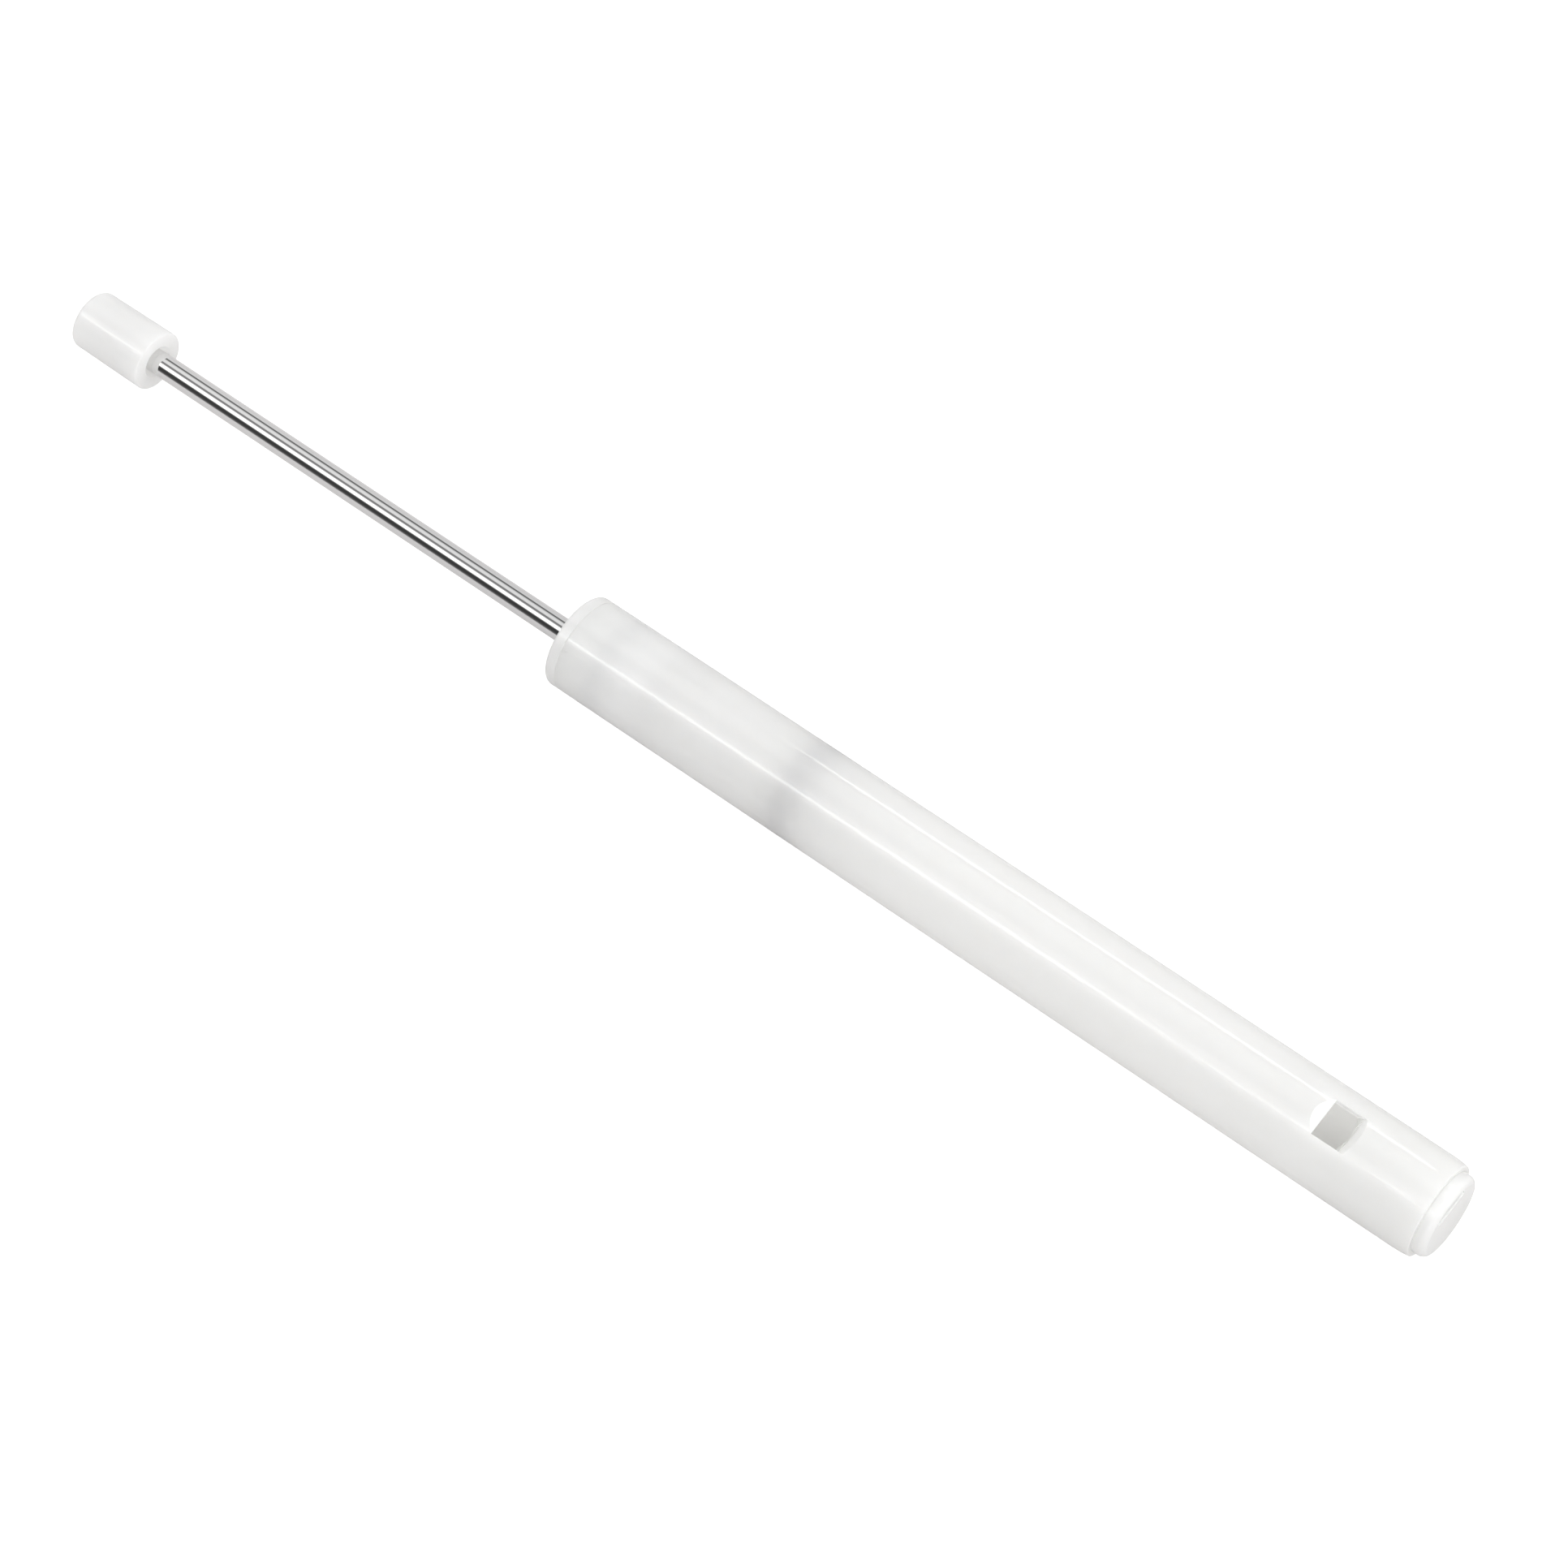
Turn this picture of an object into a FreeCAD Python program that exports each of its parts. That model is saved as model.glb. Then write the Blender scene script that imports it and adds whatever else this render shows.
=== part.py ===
"""Slide whistle: a round plastic barrel with a windway, a sound window and a sliding piston.

Frame: millimetres, +X runs along the barrel from the mouthpiece to the pull knob, and +Z
points out of the sound window. The origin is the centre of the mouthpiece's flat front face.
The slide is modelled partly drawn out.
"""
import FreeCAD, Part
import math
import os
import re

import Sketcher

V = FreeCAD.Vector
TOUCH = 1e-6

DIMENSIONS = {
    # barrel tube
    "barrel_radius": 9.5,
    "bore_radius": 7.75,
    "tube_start": 2.6,
    "tube_end": 193.6,
    "mouth_taper_length": 3.5,
    "mouth_taper_depth": 0.25,
    "mouth_edge_round": 0.25,
    "mouth_inner_chamfer": 0.1,
    # sound window and labium
    "window_width": 7.66,
    "window_start": 20.0,
    "window_lean": 1.1,
    "labium_start": 26.55,
    "labium_top": 8.695,
    "labium_ramp": 1.9,
    "labium_edge": 0.4,
    "labium_relief": 3.0,
    # windway, its floor given at the front face and at the block's back
    "windway_front": 4.6,
    "windway_back": 7.0,
    "windway_gap": 0.95,
    # mouthpiece block
    "block_end": 21.0,
    "lip_radius": 8.2,
    "lip_round": 0.9,
    # slide rod
    "rod_radius": 2.38,
    "spigot_radius": 1.5,
    "running_gap": 0.05,
    "rod_front": 136.0,
    "rod_shoulder": 149.5,
    "rod_back": 316.4,
    "rod_chamfer": 0.25,
    # piston, from its front back
    "nut_front": 136.5,
    "washer_front": 138.0,
    "seal_front": 138.7,
    "hub_front": 143.5,
    "nut_circumradius": 2.9,
    "washer_radius": 5.6,
    "seal_radius": 7.7,
    "seal_bead": 1.3,
    "seal_groove": 0.6,
    "hub_radius": 7.1,
    "hub_neck_radius": 4.0,
    "hub_web": 1.8,
    # end cap and bumper
    "cap_end": 196.1,
    "cap_plug_length": 6.9,
    "cap_plug_wall": 1.6,
    "cap_boss_radius": 4.6,
    "cap_floor": 1.9,
    "cap_edge_round": 0.7,
    "bumper_length": 3.0,
    "bumper_radius": 7.6,
    "bumper_hole_radius": 3.0,
    # pull knob
    "knob_start": 302.2,
    "knob_end": 319.6,
    "knob_rim_radius": 6.18,
    "knob_end_radius": 6.04,
    "knob_sink_radius": 3.35,
    "knob_sink_depth": 1.4,
    "knob_edge_round": 1.0,
    "knob_rim_round": 0.35,
}

doc = FreeCAD.newDocument("slide_whistle")
sheet = doc.addObject("Spreadsheet::Sheet", "Sheet")
for row, (alias, number) in enumerate(DIMENSIONS.items(), start=1):
    sheet.set("A%d" % row, alias)
    sheet.set("B%d" % row, str(number))
    sheet.setAlias("B%d" % row, alias)
doc.recompute()


def value(formula):
    """The number that a formula in the sheet's aliases comes to, worked out in a spare cell."""
    sheet.set("D1", "=" + formula)
    sheet.recompute()
    return float(sheet.get("D1"))


def linked(formula):
    """The same formula as an expression that any object of the document can hold."""
    return re.sub(r"[a-z_]+", lambda word: "Sheet." + word.group(), formula)


def origin_plane(body, role):
    """One of a body's own three origin planes."""
    return next(f for f in body.Origin.OriginFeatures if f.Role == role)


def add_edge(sketch, start, end, arc_radius):
    """A straight edge, or an arc that bulges to the left of the way from start to end.

    Returns the edge's number and which of its ends, 1 or 2, lies at start.
    """
    if arc_radius is None:
        return sketch.addGeometry(Part.LineSegment(start, end), False), 1
    chord = end - start
    sagitta = arc_radius - math.sqrt(arc_radius ** 2 - (chord.Length / 2) ** 2)
    outward = V(-chord.y, chord.x, 0).normalize()
    middle = (start + end) / 2 + outward * sagitta
    edge = sketch.addGeometry(Part.Arc(start, middle, end), False)
    starts_there = (sketch.getPoint(edge, 1) - start).Length < TOUCH
    return edge, 1 if starts_there else 2


def outline(body, name, corners):
    """A closed outline in the body's XZ plane, every corner held by formulas from the sheet.

    A corner is (x, z), or (x, z, radius) where an arc of that radius leads on to the next.
    """
    sketch = body.newObject("Sketcher::SketchObject", name)
    sketch.AttachmentSupport = [(origin_plane(body, "XZ_Plane"), "")]
    sketch.MapMode = "FlatFace"
    places = [V(value(corner[0]), value(corner[1]), 0) for corner in corners]
    edges = []
    for number, corner in enumerate(corners):
        radius = value(corner[2]) if len(corner) > 2 else None
        following = places[(number + 1) % len(corners)]
        edges.append(add_edge(sketch, places[number], following, radius))
    for number, corner in enumerate(corners):
        edge, near_end = edges[number]
        next_edge, next_end = edges[(number + 1) % len(corners)]
        sketch.addConstraint(
            Sketcher.Constraint("Coincident", edge, 3 - near_end, next_edge, next_end))
        for kind, formula, axis in (("DistanceX", corner[0], -2), ("DistanceY", corner[1], -1)):
            if formula == "0":
                sketch.addConstraint(Sketcher.Constraint("PointOnObject", edge, near_end, axis))
                continue
            held = sketch.addConstraint(
                Sketcher.Constraint(kind, -1, 1, edge, near_end, value(formula)))
            sketch.setExpression("Constraints[%d]" % held, linked(formula))
        if len(corner) > 2:
            held = sketch.addConstraint(Sketcher.Constraint("Radius", edge, value(corner[2])))
            sketch.setExpression("Constraints[%d]" % held, linked(corner[2]))
    return sketch


def turned(label, corners):
    """A body turned about the X axis from one outline."""
    body = doc.addObject("PartDesign::Body", label)
    body.Label = label
    sketch = outline(body, label + "_profile", corners)
    turn = body.newObject("PartDesign::Revolution", label + "_turn")
    turn.Profile = sketch
    turn.ReferenceAxis = (sketch, ["H_Axis"])
    turn.Angle = 360
    doc.recompute()
    return body


def cut_across(body, name, corners, width):
    """Cut an outline through the body, evenly to both sides of the XZ plane."""
    before = body.Shape.Volume
    sketch = outline(body, name + "_outline", corners)
    pocket = body.newObject("PartDesign::Pocket", name)
    pocket.Profile = sketch
    pocket.SideType = "Symmetric"
    pocket.Length = value(width)
    pocket.setExpression("Length", linked(width))
    doc.recompute()
    if body.Shape.Volume > before - TOUCH:
        raise RuntimeError(name + " cuts nothing")


def dress(body, kind, amount, x, radius):
    """Round or chamfer the circular edge of one radius that lies at one place along X."""
    base = body.Tip
    found = []
    for number, edge in enumerate(base.Shape.Edges, start=1):
        if not isinstance(edge.Curve, Part.Circle):
            continue
        off_place = abs(edge.Curve.Center.x - value(x))
        if max(off_place, abs(edge.Curve.Radius - value(radius))) < 1e-3:
            found.append("Edge%d" % number)
    if not found:
        raise RuntimeError("no edge of radius %s at %s on %s" % (radius, x, body.Label))
    feature = body.newObject("PartDesign::" + kind, body.Label + "_" + amount)
    feature.Base = (base, found)
    field = "Radius" if kind == "Fillet" else "Size"
    setattr(feature, field, value(amount))
    feature.setExpression(field, linked(amount))
    doc.recompute()


def along_x(solid, x):
    """Stand a primitive's own Z axis along +X, starting at one place on the X axis."""
    solid.Placement = FreeCAD.Placement(V(value(x), 0, 0), FreeCAD.Rotation(V(0, 1, 0), 90))
    solid.setExpression("Placement.Base.x", linked(x))


def drilled(label, blank, hole_radius, x, length):
    """Drill a blank through along X; the result carries the sub-part's label."""
    drill = doc.addObject("Part::Cylinder", label + "_drill")
    for field, formula in (("Radius", hole_radius), ("Height", length)):
        drill.setExpression(field, linked(formula))
    along_x(drill, x)
    result = doc.addObject("Part::Cut", label)
    result.Label = label
    result.Base = blank
    result.Tool = drill
    doc.recompute()
    return result


def ring(label, radius, hole_radius, x, length):
    """A plain flat ring about the X axis."""
    blank = doc.addObject("Part::Cylinder", label + "_blank")
    for field, formula in (("Radius", radius), ("Height", length)):
        blank.setExpression(field, linked(formula))
    along_x(blank, x)
    return drilled(label, blank, hole_radius, x, length)


# The windway is one straight sloping slot. It is cut from the block, and where it rises above
# the bore its roof is cut into the tube wall.
WINDWAY_RISE = "(windway_back - windway_front) / block_end"
WINDWAY_MARGIN = "1.0"
WINDWAY = [
    ("0 - " + WINDWAY_MARGIN, "windway_front - %s * %s" % (WINDWAY_RISE, WINDWAY_MARGIN)),
    ("block_end", "windway_back"),
    ("block_end", "windway_back + windway_gap"),
    ("0 - " + WINDWAY_MARGIN,
     "windway_front + windway_gap - %s * %s" % (WINDWAY_RISE, WINDWAY_MARGIN)),
]


def make_barrel_tube():
    """The tube, with its eased mouth end, its window, the ramp to the labium and the windway."""
    body = turned("barrel_tube", [
        ("tube_start", "bore_radius"),
        ("tube_start", "barrel_radius - mouth_taper_depth",
         "(mouth_taper_length ^ 2 + mouth_taper_depth ^ 2) / (2 * mouth_taper_depth)"),
        ("tube_start + mouth_taper_length", "barrel_radius"),
        ("tube_end", "barrel_radius"),
        ("tube_end", "bore_radius"),
    ])
    dress(body, "Fillet", "mouth_edge_round", "tube_start", "barrel_radius - mouth_taper_depth")
    dress(body, "Chamfer", "mouth_inner_chamfer", "tube_start", "bore_radius")
    floor = "bore_radius - 2"
    sky = "barrel_radius + 1"
    cut_across(body, "sound_window", [
        ("window_start + window_lean * (labium_top - (%s))" % floor, floor),
        ("labium_start", floor),
        ("labium_start", "labium_top"),
        ("labium_start + labium_ramp * (%s - labium_top) / (barrel_radius - labium_top)" % sky,
         sky),
        ("window_start + window_lean * (labium_top - (%s))" % sky, sky),
    ], "window_width")
    cut_across(body, "labium_undercut", [
        ("labium_start - 1", "bore_radius - 1"),
        ("labium_start + labium_relief", "bore_radius - 1"),
        ("labium_start + labium_relief", "bore_radius - 0.05"),
        ("labium_start", "labium_top - labium_edge"),
        ("labium_start - 1", "labium_top - labium_edge"),
    ], "window_width")
    cut_across(body, "windway_roof", WINDWAY, "window_width")
    return body


def make_mouthpiece_block():
    """The plug that closes the mouth end, with a rounded lip and the windway through it."""
    body = turned("mouthpiece_block", [
        ("0", "0"),
        ("0", "lip_radius"),
        ("tube_start", "lip_radius"),
        ("tube_start", "bore_radius"),
        ("block_end", "bore_radius"),
        ("block_end", "0"),
    ])
    dress(body, "Fillet", "lip_round", "0", "lip_radius")
    cut_across(body, "windway", WINDWAY, "window_width")
    return body


def make_end_cap():
    """The moulded cap: a flange over the tube's end, a plug inside it and a boss for the rod."""
    inner = "tube_end - cap_plug_length"
    hole = "rod_radius + running_gap"
    body = turned("end_cap", [
        (inner, "bore_radius - cap_plug_wall"),
        (inner, "bore_radius"),
        ("tube_end", "bore_radius"),
        ("tube_end", "barrel_radius"),
        ("cap_end", "barrel_radius"),
        ("cap_end", hole),
        (inner, hole),
        (inner, "cap_boss_radius"),
        ("cap_end - cap_floor", "cap_boss_radius"),
        ("cap_end - cap_floor", "bore_radius - cap_plug_wall"),
    ])
    dress(body, "Fillet", "cap_edge_round", "cap_end", "barrel_radius")
    return body


def make_slide_rod():
    """The steel rod, with a thinner spigot at its front for the piston's parts."""
    body = turned("slide_rod", [
        ("rod_front", "0"),
        ("rod_front", "spigot_radius"),
        ("rod_shoulder", "spigot_radius"),
        ("rod_shoulder", "rod_radius"),
        ("rod_back", "rod_radius"),
        ("rod_back", "0"),
    ])
    dress(body, "Chamfer", "rod_chamfer", "rod_front", "spigot_radius")
    return body


def make_piston_nut():
    """The hexagon nut that holds the piston's parts on the rod's spigot."""
    length = "washer_front - running_gap - nut_front"
    blank = doc.addObject("Part::Prism", "piston_nut_blank")
    blank.Polygon = 6
    for field, formula in (("Circumradius", "nut_circumradius"), ("Height", length)):
        blank.setExpression(field, linked(formula))
    along_x(blank, "nut_front")
    return drilled("piston_nut", blank, "spigot_radius", "nut_front", length)


def make_seal_washer():
    """The flat washer in front of the seal."""
    return ring("seal_washer", "washer_radius", "spigot_radius + running_gap",
                "washer_front", "seal_front - washer_front")


def make_piston_seal():
    """The dark rubber seal, with two beads that meet the bore and a groove between them."""
    hole = "spigot_radius + running_gap"
    return turned("piston_seal", [
        ("seal_front", hole),
        ("seal_front", "seal_radius"),
        ("seal_front + seal_bead", "seal_radius"),
        ("seal_front + seal_bead + seal_groove", "seal_radius - seal_groove"),
        ("hub_front - seal_bead - seal_groove", "seal_radius - seal_groove"),
        ("hub_front - seal_bead", "seal_radius"),
        ("hub_front", "seal_radius"),
        ("hub_front", hole),
    ])


def make_piston_hub():
    """The plastic spool that backs the seal, up to the rod's shoulder."""
    hole = "spigot_radius + running_gap"
    back = "rod_shoulder - running_gap"
    return turned("piston_hub", [
        ("hub_front", hole),
        ("hub_front", "hub_radius"),
        ("hub_front + hub_web", "hub_radius"),
        ("hub_front + hub_web", "hub_neck_radius"),
        (back + " - hub_web", "hub_neck_radius"),
        (back + " - hub_web", "hub_radius"),
        (back, "hub_radius"),
        (back, hole),
    ])


def make_bumper_ring():
    """The dark felt ring on the cap's inner face, which stops the piston softly."""
    return ring("bumper_ring", "bumper_radius", "bumper_hole_radius",
                "tube_end - cap_plug_length - bumper_length", "bumper_length")


def make_knob():
    """The pull knob: a solid moulding pressed on the rod, countersunk where the rod enters."""
    body = turned("knob", [
        ("knob_start", "knob_sink_radius"),
        ("knob_start", "knob_rim_radius"),
        ("knob_end", "knob_end_radius"),
        ("knob_end", "0"),
        ("rod_back", "0"),
        ("rod_back", "rod_radius"),
        ("knob_start + knob_sink_depth", "rod_radius"),
    ])
    dress(body, "Fillet", "knob_edge_round", "knob_end", "knob_end_radius")
    dress(body, "Fillet", "knob_rim_round", "knob_start", "knob_rim_radius")
    return body


sub_parts = [
    make_barrel_tube(),
    make_mouthpiece_block(),
    make_end_cap(),
    make_bumper_ring(),
    make_slide_rod(),
    make_piston_nut(),
    make_seal_washer(),
    make_piston_seal(),
    make_piston_hub(),
    make_knob(),
]
doc.recompute()

for thing in doc.Objects:
    if "Invalid" in thing.State or "Error" in thing.State:
        raise RuntimeError("%s failed: %s" % (thing.Label, thing.State))
for sub_part in sub_parts:
    if sub_part.Shape.isNull() or not sub_part.Shape.isValid():
        raise RuntimeError(sub_part.Label + " has no valid shape")

os.makedirs("parts", exist_ok=True)
for sub_part in sub_parts:
    sub_part.Shape.exportStep(os.path.join("parts", sub_part.Label + ".step"))
    print("%-18s %10.1f mm3" % (sub_part.Label, sub_part.Shape.Volume))
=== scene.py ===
"""Looks of the slide whistle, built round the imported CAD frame. Metres, same axes as the CAD."""
import math

import bmesh
import bpy
from mathutils import Matrix, Vector, noise


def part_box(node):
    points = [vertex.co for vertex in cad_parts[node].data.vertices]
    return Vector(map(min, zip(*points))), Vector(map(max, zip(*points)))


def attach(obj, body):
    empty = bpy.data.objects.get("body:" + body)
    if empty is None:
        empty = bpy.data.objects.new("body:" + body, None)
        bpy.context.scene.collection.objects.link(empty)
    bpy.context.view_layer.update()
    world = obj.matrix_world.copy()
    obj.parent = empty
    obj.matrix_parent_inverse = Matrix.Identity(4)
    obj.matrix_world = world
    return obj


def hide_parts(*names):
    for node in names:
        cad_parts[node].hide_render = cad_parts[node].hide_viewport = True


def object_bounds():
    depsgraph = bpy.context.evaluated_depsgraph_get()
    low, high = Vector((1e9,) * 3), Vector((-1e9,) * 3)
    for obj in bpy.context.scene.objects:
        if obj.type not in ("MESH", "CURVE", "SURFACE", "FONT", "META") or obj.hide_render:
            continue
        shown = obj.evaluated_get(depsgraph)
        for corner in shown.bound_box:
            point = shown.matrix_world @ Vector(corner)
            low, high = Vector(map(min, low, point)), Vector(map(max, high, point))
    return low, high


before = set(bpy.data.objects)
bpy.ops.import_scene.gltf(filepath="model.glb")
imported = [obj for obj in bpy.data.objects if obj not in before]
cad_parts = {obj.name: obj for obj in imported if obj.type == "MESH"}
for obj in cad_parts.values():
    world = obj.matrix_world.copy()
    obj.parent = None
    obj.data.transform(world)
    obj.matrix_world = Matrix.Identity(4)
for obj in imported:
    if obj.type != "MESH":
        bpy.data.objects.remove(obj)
cad_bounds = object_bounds()

MM = 0.001
TURN = 2 * math.pi
BARREL_SEGMENTS = 256
SMALL_SEGMENTS = 128
ARC_STEPS = 8
SHARP_DEGREES = 30
# The ramp of the sound window meets the barrel at a low angle, and its edge stays sharp.
RAMP_SHARP_DEGREES = 14
# Edges over this angle get the small round after a cut.
CUT_EDGE_DEGREES = 32

# ---------------------------------------------------------------- sizes read from the frame


def span(node):
    """Where a node starts and ends along the barrel, and its outer radius."""
    low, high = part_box(node)
    return low.x, high.x, max(high.y, -low.y)


TUBE_START, TUBE_END, BARREL_RADIUS = span("barrel_tube")
BLOCK_START, BLOCK_END, _ = span("mouthpiece_block")
CAP_START, CAP_END, _ = span("end_cap")
BUMPER_START, BUMPER_END, BUMPER_RADIUS = span("bumper_ring")
ROD_START, ROD_END, ROD_RADIUS = span("slide_rod")
NUT_START, NUT_END, _ = span("piston_nut")
WASHER_START, WASHER_END, WASHER_RADIUS = span("seal_washer")
SEAL_START, SEAL_END, SEAL_RADIUS = span("piston_seal")
HUB_START, HUB_END, HUB_RADIUS = span("piston_hub")
KNOB_START, KNOB_END, KNOB_RADIUS = span("knob")

# ---------------------------------------------------------------- sizes of the mouldings

# barrel
BORE_RADIUS = 7.75 * MM
MOUTH_TAPER_LENGTH = 3.5 * MM
MOUTH_TAPER_DEPTH = 0.25 * MM
MOUTH_EDGE_ROUND = 0.25 * MM
BORE_EDGE_ROUND = 0.08 * MM
# sound window and labium
WINDOW_WIDTH = 7.66 * MM
WINDOW_START = 20.0 * MM
WINDOW_LEAN = 1.1
LABIUM_START = 26.55 * MM
LABIUM_TOP = 8.695 * MM
LABIUM_RAMP = 1.9 * MM
LABIUM_EDGE = 0.4 * MM
LABIUM_RELIEF = 3.0 * MM
CUT_ROUND = 0.08 * MM
CUT_MARGIN = 1.0 * MM
# windway, its floor given at the front face and at the plug's back
WINDWAY_FRONT = 4.6 * MM
WINDWAY_BACK = 7.0 * MM
WINDWAY_GAP = 0.95 * MM
# mouthpiece lip
LIP_RADIUS = 8.2 * MM
LIP_ROUND = 1.3 * MM
LIP_DOME = 0.12 * MM
# end cap and felt ring
CAP_PLUG_WALL = 1.6 * MM
CAP_BOSS_RADIUS = 4.6 * MM
CAP_FLOOR = 1.9 * MM
CAP_EDGE_ROUND = 0.7 * MM
BUMPER_HOLE_RADIUS = 3.0 * MM
FELT_FUZZ = 0.05 * MM
# rod, nut and piston
SPIGOT_RADIUS = 1.5 * MM
SPIGOT_CHAMFER = 0.25 * MM
THREAD_PITCH = 0.5 * MM
THREAD_DEPTH = 0.18 * MM
NUT_CHAMFER = 0.25 * MM
HUB_NECK_RADIUS = 4.0 * MM
HUB_WEB = 1.8 * MM
SEAL_BEAD = 1.3 * MM
SEAL_GROOVE = 0.6 * MM
BEAD_ROUND = 0.5 * MM
# knob
KNOB_END_RADIUS = 6.04 * MM
KNOB_END_ROUND = 1.0 * MM
KNOB_SINK_RADIUS = 3.35 * MM
KNOB_SINK_DEPTH = 1.4 * MM
GATE_DIMPLE = 0.15 * MM
# fits, and the round of a plain moulded edge
RUNNING_GAP = 0.05 * MM
FIT_GAP = 0.02 * MM
PLAIN_ROUND = 0.3 * MM

# ---------------------------------------------------------------- mesh building


def rounded(corners):
    """Turn (x, radius, round) corners of a closed outline into points, with arcs at the rounds.

    A point is also put just outside each arc, which keeps the shading of long walls flat.
    """
    points = []
    count = len(corners)
    for number, (x, r, amount) in enumerate(corners):
        here = Vector((x, r))
        if amount == 0:
            points.append(here)
            continue
        before = Vector(corners[number - 1][:2]) - here
        after = Vector(corners[(number + 1) % count][:2]) - here
        half_angle = before.angle(after) / 2
        reach = amount / math.tan(half_angle)
        start = here + before.normalized() * reach
        end = here + after.normalized() * reach
        centre = here + (before.normalized() + after.normalized()).normalized() * (
            amount / math.sin(half_angle))
        guard = min(0.25 * amount, 0.05 * MM)
        points.append(start + before.normalized() * guard)
        first = start - centre
        sweep = first.angle_signed(end - centre)
        for step in range(ARC_STEPS + 1):
            turn = Matrix.Rotation(-sweep * step / ARC_STEPS, 2)
            points.append(centre + turn @ first)
        points.append(end + after.normalized() * guard)
    return points


def lathe(name, points, segments, shape=None):
    """A closed mesh turned about X from a closed outline of (x, radius) points.

    shape(x, radius, angle) may give another radius, for a thread or a rough surface.
    """
    mesh_data = bmesh.new()
    rings = []
    for x, r in points:
        if r < 1e-7:
            rings.append([mesh_data.verts.new((x, 0, 0))])
            continue
        ring = []
        for step in range(segments):
            angle = TURN * step / segments
            radius = shape(x, r, angle) if shape else r
            ring.append(mesh_data.verts.new(
                (x, radius * math.sin(angle), radius * math.cos(angle))))
        rings.append(ring)
    for number, ring in enumerate(rings):
        following = rings[(number + 1) % len(rings)]
        if len(ring) == 1 and len(following) == 1:
            continue
        for step in range(segments):
            near, far = step, (step + 1) % segments
            if len(ring) == 1:
                corners = (ring[0], following[near], following[far])
            elif len(following) == 1:
                corners = (ring[near], following[0], ring[far])
            else:
                corners = (ring[near], following[near], following[far], ring[far])
            mesh_data.faces.new(corners)
    bmesh.ops.recalc_face_normals(mesh_data, faces=mesh_data.faces)
    return make_piece(name, mesh_data)


def make_piece(name, mesh_data):
    """Link a bmesh as a smooth-shaded object whose sharp corners stay sharp."""
    mesh = bpy.data.meshes.new(name)
    mesh_data.to_mesh(mesh)
    mesh_data.free()
    piece = bpy.data.objects.new(name, mesh)
    bpy.context.scene.collection.objects.link(piece)
    shade(piece)
    return piece


def shade(piece, degrees=SHARP_DEGREES):
    """Smooth shading, with edges over an angle kept sharp."""
    piece.data.shade_smooth()
    piece.data.set_sharp_from_angle(angle=math.radians(degrees))


def prism(name, outline, width):
    """A cutter: an (x, z) outline drawn out evenly to both sides of the XZ plane."""
    mesh_data = bmesh.new()
    sides = []
    for y in (-width / 2, width / 2):
        sides.append([mesh_data.verts.new((x, y, z)) for x, z in outline])
    mesh_data.faces.new(sides[0])
    mesh_data.faces.new(sides[1])
    for number in range(len(outline)):
        following = (number + 1) % len(outline)
        mesh_data.faces.new(
            (sides[0][number], sides[0][following], sides[1][following], sides[1][number]))
    bmesh.ops.recalc_face_normals(mesh_data, faces=mesh_data.faces)
    return make_piece(name, mesh_data)


def carve(piece, cutters, edge_round):
    """Cut the prisms from a piece, then break the new sharp edges by a small round."""
    for cutter in cutters:
        cut = piece.modifiers.new(cutter.name, "BOOLEAN")
        cut.operation = "DIFFERENCE"
        cut.solver = "EXACT"
        cut.object = cutter
    soften = piece.modifiers.new("edge_round", "BEVEL")
    soften.width = edge_round
    soften.segments = 3
    soften.limit_method = "ANGLE"
    soften.angle_limit = math.radians(CUT_EDGE_DEGREES)
    soften.harden_normals = False
    graph = bpy.context.evaluated_depsgraph_get()
    carved = bpy.data.meshes.new_from_object(piece.evaluated_get(graph))
    piece.modifiers.clear()
    piece.data = carved
    for cutter in cutters:
        bpy.data.objects.remove(cutter)
    shade(piece)


# ---------------------------------------------------------------- materials


class Tree:
    """Short ways to add and join the nodes of a material or of the world."""

    def __init__(self, owner):
        owner.use_nodes = True
        self.tree = owner.node_tree
        self.tree.nodes.clear()

    def add(self, kind, **values):
        node = self.tree.nodes.new(kind)
        for key, value in values.items():
            setattr(node, key, value)
        return node

    def join(self, source, target):
        self.tree.links.new(source, target)

    def spread(self, source, start=0.0, end=1.0, low=0.0, high=1.0):
        """Map a value from the range start to end onto the range low to high."""
        node = self.add("ShaderNodeMapRange")
        node.inputs["From Min"].default_value = start
        node.inputs["From Max"].default_value = end
        node.inputs["To Min"].default_value = low
        node.inputs["To Max"].default_value = high
        self.join(source, node.inputs["Value"])
        return node.outputs["Result"]

    def background(self, strength=1.0):
        """A plain white background of a strength."""
        node = self.add("ShaderNodeBackground")
        node.inputs["Color"].default_value = (1, 1, 1, 1)
        node.inputs["Strength"].default_value = strength
        return node

    def mix(self, factor, first, second):
        """One shader where the factor is 0, the other where it is 1."""
        node = self.add("ShaderNodeMixShader")
        self.join(factor, node.inputs["Fac"])
        self.join(first.outputs[0], node.inputs[1])
        self.join(second.outputs[0], node.inputs[2])
        return node


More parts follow.
